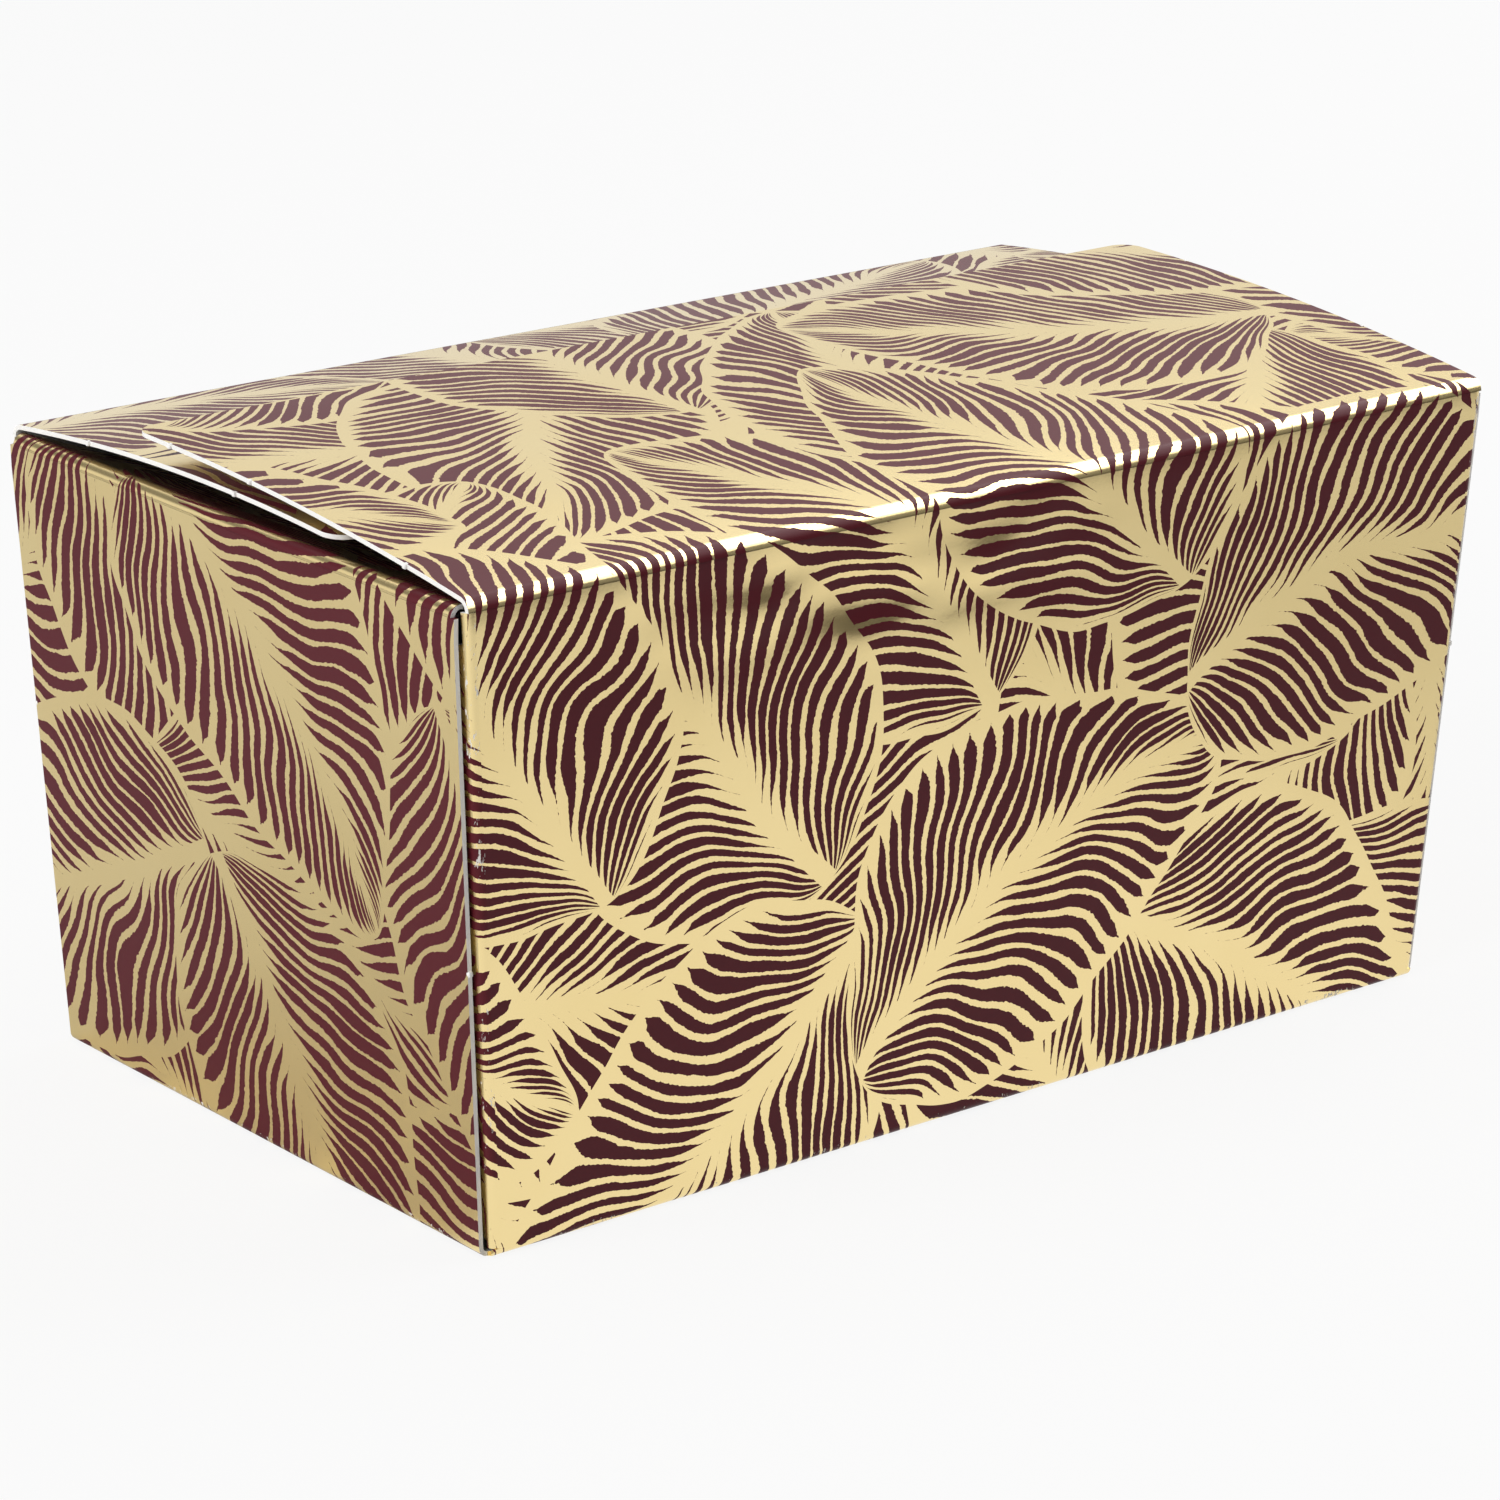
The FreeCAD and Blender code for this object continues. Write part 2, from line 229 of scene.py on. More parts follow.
class Ink:
    """The node tree of a material or of the room."""

    def __init__(self, owner):
        owner.use_nodes = True
        self.owner = owner
        self.tree = owner.node_tree
        self.tree.nodes.clear()

    @classmethod
    def named(cls, name):
        """The node tree of a new material."""
        return cls(bpy.data.materials.new(name))

    def node(self, kind, settings=None, values=None):
        """A node of a kind, with its settings made first and then its sockets filled or linked."""
        made = self.tree.nodes.new(kind)
        for name, value in (settings or {}).items():
            setattr(made, name, value)
        for name, value in (values or {}).items():
            if isinstance(value, Wire):
                self.tree.links.new(value.socket, made.inputs[name])
            else:
                made.inputs[name].default_value = value
        return Step(self, made)

    def vector(self, operation, *values, **named):
        """A Vector Math node's vector."""
        filled = dict(enumerate(values))
        filled.update(named)
        return self.node("ShaderNodeVectorMath", {"operation": operation}, filled).wire("Vector")

    def parts(self, vector):
        """The three numbers of a vector."""
        split = self.node("ShaderNodeSeparateXYZ", values={"Vector": vector})
        return split.wire("X"), split.wire("Y"), split.wire("Z")

    def joined(self, x, y, z):
        """A vector of three numbers."""
        return self.node("ShaderNodeCombineXYZ", values={"X": x, "Y": y, "Z": z}).wire("Vector")

    def chosen(self, factor, first, second):
        """The first vector where the factor is 0 and the second where it is 1."""
        values = {mix_factor: factor, first_vector: first, second_vector: second}
        return self.node("ShaderNodeMix", {"data_type": "VECTOR"}, values).wire(vector_result)

    def colour(self, factor, first, second):
        """The first colour where the factor is 0 and the second where it is 1."""
        values = {mix_factor: factor, first_colour: first, second_colour: second}
        return self.node("ShaderNodeMix", {"data_type": "RGBA"}, values).wire(colour_result)

    def ease(self, value, low, high):
        """0 at low, 1 at high, smooth between; low may be the larger."""
        settings = {"interpolation_type": "SMOOTHSTEP"}
        values = {"Value": value, "From Min": low, "From Max": high}
        return self.node("ShaderNodeMapRange", settings, values).wire("Result")

    def cloud(self, place, scale, detail=2.0, roughness=0.5):
        """Noise about 0.5, and the same as a vector."""
        values = {"Vector": place, "Scale": scale, "Detail": detail, "Roughness": roughness}
        made = self.node("ShaderNodeTexNoise", values=values)
        return made.wire("Fac"), made.wire("Color")

    def wander(self, place, reach, scale, detail, roughness=0.5):
        """Noise about 0, which strays by the reach at most."""
        return (self.cloud(place, scale, detail, roughness)[0] - 0.5) * (2 * reach)

    def dice(self, place):
        """A random number and a random vector for each whole place."""
        made = self.node("ShaderNodeTexWhiteNoise", {"noise_dimensions": "3D"}, {"Vector": place})
        return made.wire("Value"), made.wire("Color")

    def finish(self, **values):
        """The surface shader, with its sockets named by their labels in lower case."""
        named = {key.replace("_", " ").title(): value for key, value in values.items()}
        if "Ior" in named:
            named["IOR"] = named.pop("Ior")
        surface = self.node("ShaderNodeBsdfPrincipled", values=named)
        self.output("ShaderNodeOutputMaterial", surface.wire("BSDF"))
        return self.owner

    def mixed(self, factor, first, second):
        """The first shader where the factor is 0 and the second where it is 1."""
        return self.node("ShaderNodeMixShader", values={0: factor, 1: first, 2: second}).wire("Shader")

    def output(self, kind, shader):
        """The end of the tree."""
        self.node(kind, values={"Surface": shader})


# Print on the board: overlapping leaves in gold foil on burgundy, in millimetres of the flat blank
print_unit = 100.0
mm_per_metre = 1000
leaf_spacing = 25.0
leaf_scatter_share = 0.6
leaf_half_length = 28.5
leaf_half_width = 19.5
leaf_roundness = 0.62
leaf_foot_share = 0.28
least_taper = 0.0005
leaf_bend = 0.018
lowest_rank = 0.1
drift_reach = 4.0
drift_scale = 0.07

# Veins: the slits of burgundy between them, swept forwards from the midrib
vein_pitch = 2.5
vein_sweep = 20.0
vein_curl = 0.6
vein_sway = 6.0
sway_scale = 0.05
hand_shake = 0.28
shake_scale = 0.5
swell_scale = 0.14
ragged_edge = 0.08
ragged_scale = 2.2
vein_luck = 9
other_side_shift = 0.5
side_draw = 31.0
leaf_draw = 57.0
slit_half_width = 0.13
slit_luck = 0.12
slit_swell = 0.28
slit_start_luck = 0.11
slit_start_ease = (-0.02, 0.15)
slit_end_ease = (-0.2, 1.0)
slit_end_luck = 2.0
leaf_rim = 0.9
leaf_rim_luck = 0.6
leaf_rim_shake = 0.3
midrib = 0.4
midrib_taper = 0.012

# Finish of the print
burgundy = (0.104, 0.012, 0.019, 1)
deep_burgundy = (0.090, 0.010, 0.015, 1)
gold = (0.92, 0.75, 0.39, 1)
warm_gold = (0.86, 0.673, 0.318, 1)
print_gloss_index = 1.235
print_roughness = 0.34
foil_smoothness = 0.16
patch_roughness = 0.08
patch_scale = 60.0
grain_scale = 2600.0
grain_depth = 0.000005

# Cracks in the foil at sharp folds
bare_board = (0.8, 0.77, 0.72, 1)
bare_roughness = 0.3
crack_scale = 2600.0
worn_scale = 110.0
worn_share = 0.8
crack_ease = (0.655, 0.69)

# Plain board and glue
fibre_stretch = (1.0, 1.0, 0.3)
mottle_scale = 180.0
mottle_roughness = 0.1
fibre_depth = 0.00006
fibre_strength = 0.25
inner_light = (0.76, 0.74, 0.70, 1)
inner_shade = (0.64, 0.62, 0.58, 1)
cut_light = (0.95, 0.94, 0.92, 1)
cut_shade = (0.84, 0.82, 0.79, 1)
glue_dark = (0.72, 0.66, 0.48, 1)
glue_pale = (0.85, 0.82, 0.7, 1)
glue_cloud_scale = 400.0
glue_roughness = 0.3
glue_cloud_roughness = 0.2


def leaf_width(along):
    """Half the width of a leaf at a place along its midrib, widest towards its foot."""
    share = along * (1 / leaf_half_length)
    taper = (1 - share * share).at_least(least_taper) ** leaf_roundness
    return taper * leaf_half_width * (1 - leaf_foot_share * share)


def topmost_leaf(ink, drawn):
    """The leaf on top at each place: above 0 where there is one, its own places, and its luck."""
    gridded = ink.vector("SCALE", drawn, Scale=1 / leaf_spacing)
    cell = ink.vector("FLOOR", gridded)
    within = ink.vector("SUBTRACT", gridded, cell)
    first_centre = (1 - leaf_scatter_share) / 2
    scatter = (-leaf_scatter_share, -leaf_scatter_share, 0.0)
    best = None
    shape = None
    chance = None
    for column in (-1, 0, 1):
        for row in (-1, 0, 1):
            own_cell = ink.vector("ADD", cell, (column, row, 0.0))
            turn, spread = ink.dice(own_cell)
            corner = ink.vector("SUBTRACT", within, (column + first_centre, row + first_centre, 0.0))
            apart = ink.vector("MULTIPLY_ADD", spread, scatter, corner)
            scaled = ink.vector("SCALE", apart, Scale=leaf_spacing)
            settings = {"rotation_type": "Z_AXIS"}
            values = {"Vector": scaled, "Angle": turn * (2 * math.pi)}
            turned = ink.node("ShaderNodeVectorRotate", settings, values).wire("Vector")
            along, across, _ = ink.parts(turned)
            rank = ink.parts(spread)[2]
            bent = across - (rank - 0.5) * leaf_bend * along * along
            out_share = abs(bent) / leaf_width(along)
            score = (out_share < 1) * (abs(along) < leaf_half_length) * (rank + lowest_rank)
            own_shape = ink.joined(along, bent, out_share)
            if best is None:
                best, shape, chance = score, own_shape, spread
                continue
            above = score > best
            best = best.at_least(score)
            shape = ink.chosen(above, shape, own_shape)
            chance = ink.chosen(above, chance, spread)
    return best, shape, chance


def leaf_foil(ink):
    """1 where gold foil lies: the outline, midrib and veins of the topmost leaf at each place."""
    sheet = ink.node("ShaderNodeUVMap", {"uv_map": "blank"}).wire("UV")
    flat = ink.vector("SCALE", sheet, Scale=print_unit)
    drift = ink.cloud(flat, drift_scale, detail=1.0)[1]
    drawn = ink.vector("MULTIPLY_ADD", drift, (drift_reach, drift_reach, 0.0), flat)
    best, shape, chance = topmost_leaf(ink, drawn)
    along, across, out_share = ink.parts(shape)
    luck, other_luck, _ = ink.parts(chance)
    side = across > 0
    inside_edge = (1 - out_share) * leaf_width(along)
    sway = ink.wander(flat, vein_sway, sway_scale, detail=1.0)
    shake = ink.wander(flat, hand_shake, shake_scale, detail=4.0, roughness=0.65)
    swell = ink.cloud(flat, swell_scale, detail=1.0)[0]
    swept = along - vein_sweep * out_share ** vein_curl + sway + shake
    vein_place = swept / vein_pitch + luck * vein_luck + side * other_side_shift
    vein = vein_place.floor()
    ragged = ink.wander(flat, ragged_edge, ragged_scale, detail=2.0)
    between = abs(vein_place - vein - 0.5) + ragged
    own_draw = ink.joined(vein + side * side_draw, luck * leaf_draw, other_luck * leaf_draw)
    width_luck, spreads = ink.dice(own_draw)
    start_luck, end_luck, _ = ink.parts(spreads)
    opening = ink.ease(out_share - slit_start_luck * start_luck, *slit_start_ease)
    rim = leaf_rim + leaf_rim_luck * luck + leaf_rim_shake * shake
    end_from, end_to = slit_end_ease
    closing = ink.ease(inside_edge - rim, end_from, end_to + slit_end_luck * end_luck)
    slit_half = (slit_half_width + slit_luck * width_luck + slit_swell * swell) * opening * closing
    rib = midrib + midrib_taper * (leaf_half_length - along)
    slit = (between < slit_half) * (inside_edge > rim) * (abs(across) > rib)
    return (best > 0) * (1 - slit)


def print_surface(name, cracked):
    """Glossy printed board with gold foil; at a sharp fold the foil cracks down to the white board."""
    ink = Ink.named(name)
    place = ink.node("ShaderNodeTexCoord").wire("Object")
    foil = leaf_foil(ink)
    patch = ink.cloud(place, patch_scale, detail=3.0)[0]
    grain = ink.cloud(place, grain_scale)[0]
    paint = ink.colour(patch, burgundy, deep_burgundy)
    shine = ink.colour(patch, gold, warm_gold)
    tint = ink.colour(foil, paint, shine)
    rough = print_roughness - foil * foil_smoothness + (patch - 0.5) * patch_roughness
    metal = foil
    if cracked:
        stretched = ink.vector("MULTIPLY", place, fibre_stretch)
        crack = ink.cloud(stretched, crack_scale, detail=4.0, roughness=0.65)[0]
        worn = ink.cloud(place, worn_scale)[0]
        bare = ink.ease(crack + (worn - 0.5) * worn_share, *crack_ease)
        tint = ink.colour(bare, tint, bare_board)
        rough = rough + bare * bare_roughness
        metal = metal * (1 - bare)
    relief = {"Strength": 1.0, "Distance": grain_depth, "Height": grain}
    bump = ink.node("ShaderNodeBump", values=relief)
    return ink.finish(
        base_color=tint, roughness=rough, metallic=metal, ior=print_gloss_index, normal=bump.wire("Normal"))


def plain_board(name, light, shade, fleck_scale, roughness):
    """Unprinted white board with a faint mottle and fibres."""
    ink = Ink.named(name)
    place = ink.node("ShaderNodeTexCoord").wire("Object")
    mottle = ink.cloud(place, mottle_scale, detail=4.0, roughness=0.6)[0]
    stretched = ink.vector("MULTIPLY", place, fibre_stretch)
    fibre = ink.cloud(stretched, fleck_scale, detail=3.0, roughness=0.6)[0]
    tint = ink.colour(mottle * 0.5 + fibre * 0.5, shade, light)
    relief = {"Strength": fibre_strength, "Distance": fibre_depth, "Height": fibre}
    bump = ink.node("ShaderNodeBump", values=relief)
    rough = roughness + (mottle - 0.5) * mottle_roughness
    return ink.finish(base_color=tint, roughness=rough, normal=bump.wire("Normal"))


def dried_glue():
    """Dried dispersion glue, clouded and slightly yellow."""
    ink = Ink.named("dried_glue")
    place = ink.node("ShaderNodeTexCoord").wire("Object")
    cloud = ink.cloud(place, glue_cloud_scale, detail=3.0)[0]
    tint = ink.colour(cloud, glue_dark, glue_pale)
    return ink.finish(base_color=tint, roughness=glue_roughness + cloud * glue_cloud_roughness)


printed = print_surface("printed_board", False)
printed_fold = print_surface("printed_fold", True)
inner_board = plain_board("inner_board", inner_light, inner_shade, fleck_scale=1500.0, roughness=0.55)
cut_edge = plain_board("cut_edge", cut_light, cut_shade, fleck_scale=3500.0, roughness=0.8)
glue = dried_glue()


# Cutting and folding the board

def outline_cuts(corners, radii):
    """Straight cuts, each a place and an outward direction, round an outline with rounded corners."""
    cuts = []
    count = len(corners)
    for index in range(count):
        before, here, after = [Vector(corners[(index + step) % count]) for step in (-1, 0, 1)]
        edge_in = (here - before).normalized()
        edge_out = (after - here).normalized()
        normal_in = Vector((edge_in.y, -edge_in.x))
        normal_out = Vector((edge_out.y, -edge_out.x))
        cuts.append((here, normal_out))
        radius = radii[index]
        if radius > 0:
            bisector = (normal_in + normal_out).normalized()
            centre = here - bisector * (radius / bisector.dot(normal_in))
            turn = normal_in.angle(normal_out)
            for step in range(1, cuts_per_round_corner):
                share = step / cuts_per_round_corner
                ray = normal_in * math.sin(turn * (1 - share)) + normal_out * math.sin(turn * share)
                ray.normalize()
                cuts.append((centre + ray * radius, ray))
    return cuts


def cut_sheet(name, corners, radii, squares):
    """A flat sheet of squares, cut to its outline, lying on the floor with the printed side up."""
    low = Vector((min(x for x, _ in corners), min(y for _, y in corners), 0))
    high = Vector((max(x for x, _ in corners), max(y for _, y in corners), 0))
    size = high - low
    bpy.ops.object.select_all(action="DESELECT")
    bpy.ops.mesh.primitive_grid_add(x_subdivisions=squares[0], y_subdivisions=squares[1], size=1)
    sheet = bpy.context.object
    sheet.name = name
    sheet.scale = (size.x, size.y, 1)
    sheet.location = (low + high) / 2
    bpy.ops.object.transform_apply(location=True, rotation=False, scale=True)
    bpy.ops.object.mode_set(mode="EDIT")
    for place, outward in outline_cuts(corners, radii):
        bpy.ops.mesh.select_all(action="SELECT")
        bpy.ops.mesh.bisect(
            plane_co=place.to_3d(), plane_no=outward.to_3d(), clear_outer=True, threshold=cut_tolerance)
    bpy.ops.object.mode_set(mode="OBJECT")
    return sheet


def lay_print(sheet, blank_place):
    """Put the flat sheet on the printed blank, so that the print runs on over the folds."""
    layer = sheet.data.uv_layers.get("blank") or sheet.data.uv_layers.new(name="blank")
    for loop in sheet.data.loops:
        spot = sheet.data.vertices[loop.vertex_index].co
        across, up = blank_place(spot.x, spot.y)
        layer.data[loop.index].uv = (across * mm_per_metre / print_unit, up * mm_per_metre / print_unit)
    for other in [each for each in sheet.data.uv_layers if each.name != "blank"]:
        sheet.data.uv_layers.remove(other)


def thicken(sheet, outer):
    """Give the sheet the board's thickness: print outside, white inside and white at the cut edges."""
    sheet.data.materials.clear()
    for finish in (outer, inner_board, cut_edge):
        sheet.data.materials.append(finish)
    for spot in sheet.data.vertices:
        spot.co.z = board / 2
    modifier = sheet.modifiers.new("thickness", "SOLIDIFY")
    modifier.thickness = board
    modifier.offset = -1
    modifier.material_offset = plain_side
    modifier.material_offset_rim = cut_side
    bpy.ops.object.select_all(action="DESELECT")
    sheet.select_set(True)
    bpy.context.view_layer.objects.active = sheet
    bpy.ops.object.modifier_apply(modifier="thickness")


def smooth_faces():
    """Point the faces of the piece in hand outwards, and smooth all but its sharp edges."""
    bpy.ops.object.mode_set(mode="EDIT")
    bpy.ops.mesh.select_all(action="SELECT")
    bpy.ops.mesh.normals_make_consistent(inside=False)
    bpy.ops.object.mode_set(mode="OBJECT")
    bpy.ops.object.shade_smooth_by_angle(angle=smooth_angle)


def fold(sheet, folded_place):
    """Move every point of the flat board to its folded place."""
    for spot in sheet.data.vertices:
        spot.co = folded_place(spot.co.x, spot.co.y, spot.co.z)
    smooth_faces()


def print_joins(sheet, joins):
    """Edges where a panel runs on into a fold aren't cut, so they take the print."""
    for face in sheet.data.polygons:
        if face.material_index == cut_side and any(join(face.center) for join in joins):
            face.material_index = printed_side


def make_panel(name, node, corners, radii, squares, blank_place, folded_place, joins, outer=printed):
    """One piece of board: cut, printed, thickened and folded, in the place of a CAD node."""
    sheet = cut_sheet(name, corners, radii, squares)
    lay_print(sheet, blank_place)
    thicken(sheet, outer)
    print_joins(sheet, joins)
    fold(sheet, folded_place)
    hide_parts(node)
    return sheet


def make_nick(name, folded_place, x, y):
    """A torn stub on a cut edge, where the blank hung in its sheet after cutting."""
    bpy.ops.object.select_all(action="DESELECT")
    bpy.ops.mesh.primitive_cube_add(size=1, location=(x, y, 0))
    stub = bpy.context.object
    stub.name = name
    stub.scale = (nick_size, nick_size, nick_thickness)
    bpy.ops.object.transform_apply(location=True, rotation=False, scale=True)
    bpy.ops.object.mode_set(mode="EDIT")
    bpy.ops.mesh.select_all(action="SELECT")
    bpy.ops.mesh.bevel(offset=nick_rounding, segments=2, affect="EDGES")
    bpy.ops.object.mode_set(mode="OBJECT")
    stub.data.materials.append(cut_edge)
    for index, spot in enumerate(stub.data.vertices):
        ragged = noise.noise(spot.co * nick_waves + Vector((index * nick_shift, 0, 0))) * nick_raggedness
        spot.co = folded_place(spot.co.x + ragged, spot.co.y + ragged, spot.co.z)
    smooth_faces()
    return stub


def flat_place(origin, across, up):
    """Folded places on a flat panel: across and up are directions on it, and its outside faces the third."""
    outside = across.cross(up)
    return lambda x, y, z: origin + across * x + up * y + outside * z


def slack(x, y, half_width, low, high, depth, seed):
    """A slight hand-bent unevenness of a wall that fades out at its edges."""
    span = high - low
    fade = max(0.0, 1 - (x / half_width) ** 4) * max(0.0, 1 - abs(2 * (y - low) / span - 1) ** 4)
    wave = noise.noise(Vector((x * slack_waves + seed, y * slack_waves, seed * slack_seed_step)))
    return depth * fade * wave


def buckle(x, y):
    """The flat dents under the front fold, where the wall was pressed when the lid was bent."""
    middle_x, middle_y = dent_middle
    across_share = (x - middle_x) / dent_half_width
    up_share = (y - middle_y) / dent_half_height
    window = math.exp(-across_share ** 4) * math.exp(-up_share ** 2)
    # The waves of the dents run slantwise and are longer across than up
    wave = noise.noise(Vector((x * 75 + y * 45 + 4.3, y * 190 - x * 55 + 1.7, 2.9)))
    return dent_depth * window * (wave - dent_inward_share)


def shoulder(below_fold):
    """How far a wall leans in just below the fold over its rim."""
    share = min(1.0, max(0.0, 1 - below_fold / shoulder_height))
    return shoulder_drop * share * share


def fold_place(start, line, going_in, going_out, reach, low, high):
    """Folded places on a round fold along a line. The strip leaves its first panel at the start."""
    turn = going_in.angle(going_out)
    radius = reach / math.tan(turn / 2)
    inwards = (going_out - going_in * going_in.dot(going_out)).normalized()

    def place(x, y, z):
        angle = turn * (y - low) / (high - low)
        ray = going_in * math.sin(angle) - inwards * math.cos(angle)
        centre = start + line * x + inwards * radius
        return centre + ray * (radius + z)

    return place


def sharp_fold(apex, line, going_in, going_out):
    """Folded places on a pressed crease, whose middle lies on the apex."""
    start = apex - going_in * setback
    return fold_place(start, line, going_in, going_out, setback, -setback, setback)


def rim_fold(hinge, line, wall_up, flap_way, fold_reach):
    """Folded places on a fold over the rim, where its flap begins, and where its turn starts and ends."""
    outside = line.cross(wall_up)
    start = hinge - wall_up * fold_reach - outside * shoulder_drop
    going_in = (wall_up - outside * (2 * shoulder_drop / shoulder_height)).normalized()
    over = line.cross(flap_way)
    reach = (hinge - start).dot(over) / going_in.dot(over)
    begin = reach + (start + going_in * reach - hinge).dot(flap_way)
    end = hinge + flap_way * begin
    margin = (end - start).normalized() * (board / 2)
    place = fold_place(start, line, going_in, flap_way, reach, -fold_reach, begin)
    return place, begin, start + margin, end - margin


def edge_at(axis, value):
    """A test for faces that lie on one straight edge of the flat sheet."""
    return lambda spot: abs(spot[axis] - value) < edge_tolerance


def edge_on(first, second):
    """A test for faces that lie on the line through two corners of the flat sheet."""
    start = Vector(first)
    way = (Vector(second) - start).normalized()
    normal = Vector((way.y, -way.x))
    return lambda spot: abs((spot.to_2d() - start).dot(normal)) < edge_tolerance


# Places on the carton

def half_length_at(share):
    """Half the carton's length at a share of its height."""
    return base_length / 2 + (rim_length - base_length) / 2 * share


def half_depth_at(share):
    """Half the carton's depth at a share of its height."""
    return base_depth / 2 + (rim_depth - base_depth) / 2 * share


def long_wall_half(slant):
    """Half the width of a long wall at a distance up its slope."""
    return half_length_at(slant / long_slant) - glue_flap_shift - corner_slot - setback


def end_wall_half(slant):
    """Half the width of an end wall at a distance up its slope."""
    return half_depth_at(slant / end_slant) + board / 2 - end_wall_inset


def glue_flap_edge(slant, distance):
    """How far from the middle a glue flap is, at a distance up its slope and in from its fold."""
    return half_depth_at(slant / end_slant) - setback - distance


def long_wall_up(front):
    """The direction up a long wall."""
    return Vector((0, front * math.sin(long_lean), math.cos(long_lean)))


def end_wall_up(right):
    """The direction up an end wall."""
    return Vector((right * math.sin(end_lean), 0, math.cos(end_lean)))


def wall_outline(half_at, low, high):
    """The outline of a tapered wall."""
    return [(-half_at(low), low), (half_at(low), low), (half_at(high), high), (-half_at(high), high)]


def strip_outline(half, low, high):
    """The outline of a straight strip."""
    return [(-half, low), (half, low), (half, high), (-half, high)]


# Base panel
half_x = base_length / 2 - setback
half_y = base_depth / 2 - setback
base_panel = make_panel(
    "base_panel_board", "base_panel", strip_outline(half_x, -half_y, half_y), square_corners, base_squares,
    lambda x, y: (x, -y),
    flat_place(Vector((0, 0, crease_ground)), along_length, -along_depth),
    [edge_at(0, -half_x), edge_at(0, half_x), edge_at(1, -half_y), edge_at(1, half_y)],
)
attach(base_panel, "carton")

# Walls
long_low = setback
long_high = long_slant - lid_fold_reach
end_low = setback
end_high = end_crease_slant - end_fold_reach

for side_name, front in long_sides:
    outline = wall_outline(long_wall_half, long_low, long_high)
    start = Vector((0, front * base_depth / 2, crease_ground))
    straight = flat_place(start, along_length * -front, long_wall_up(front))

    def uneven(x, y, z, straight=straight, front=front):
        half = long_wall_half(y)
        wave = slack(x, y, half, long_low, long_high, long_wall_slack, long_slack_seed + front)
        if front < 0:
            wave += buckle(x, y)
        return straight(x, y, z + wave - shoulder(long_high - y))

    side_joins = [edge_on(outline[1], outline[2]), edge_on(outline[3], outline[0])]
    wall = make_panel(
        f"{side_name}_wall_board", f"{side_name}_wall", outline, square_corners, long_wall_squares,
        lambda x, y, front=front: (-front * x, front * (base_depth / 2 + y)),
        uneven,
        [edge_at(1, long_low), edge_at(1, long_high)] + side_joins,
    )
    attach(wall, "carton")

for side_name, right in end_sides:
    outline = wall_outline(end_wall_half, end_low, end_high)
    start = Vector((right * base_length / 2, 0, crease_ground))
    straight = flat_place(start, along_depth * right, end_wall_up(right))

    def uneven(x, y, z, straight=straight, seed=end_slack_seed + right):
        wave = slack(x, y, end_wall_half(y), end_low, end_high, end_wall_slack, seed)
        return straight(x, y, z + wave - shoulder(end_high - y))

    wall = make_panel(
        f"{side_name}_end_wall_board", f"{side_name}_end_wall", outline, square_corners, end_wall_squares,
        lambda x, y, right=right: (right * (base_length / 2 + y), right * x),
        uneven,
        [edge_at(1, end_low), edge_at(1, end_high)],
    )
    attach(wall, "carton")
    for number, (edge, slant) in enumerate(end_wall_nicks):
        nick = make_nick(f"{side_name}_end_wall_nick_{number}", uneven, edge * end_wall_half(slant), slant)
        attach(nick, "carton")

# Base folds
strip_joins = [edge_at(1, -setback), edge_at(1, setback)]
for side_name, front in long_sides:
    crease = Vector((0, front * base_depth / 2, crease_ground))
    strip = make_panel(
        f"{side_name}_base_fold_board", f"{side_name}_base_fold",
        strip_outline(corner_half, -setback, setback), square_corners, base_fold_squares,
        lambda x, y, front=front: (x, front * (base_depth / 2 + y)),
        sharp_fold(crease, along_length, along_depth * front, long_wall_up(front)),
        strip_joins + [edge_at(0, -corner_half), edge_at(0, corner_half)], printed_fold,
    )
    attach(strip, "carton")

for side_name, right in end_sides:
    crease = Vector((right * base_length / 2, 0, crease_ground))
    strip = make_panel(
        f"{side_name}_base_fold_board", f"{side_name}_base_fold",
        strip_outline(end_wall_half(end_low), -setback, setback), square_corners, base_fold_squares,
        lambda x, y, right=right: (right * (base_length / 2 + y), x),
        sharp_fold(crease, along_depth, along_length * right, end_wall_up(right)),
        strip_joins, printed_fold,
    )
    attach(strip, "carton")

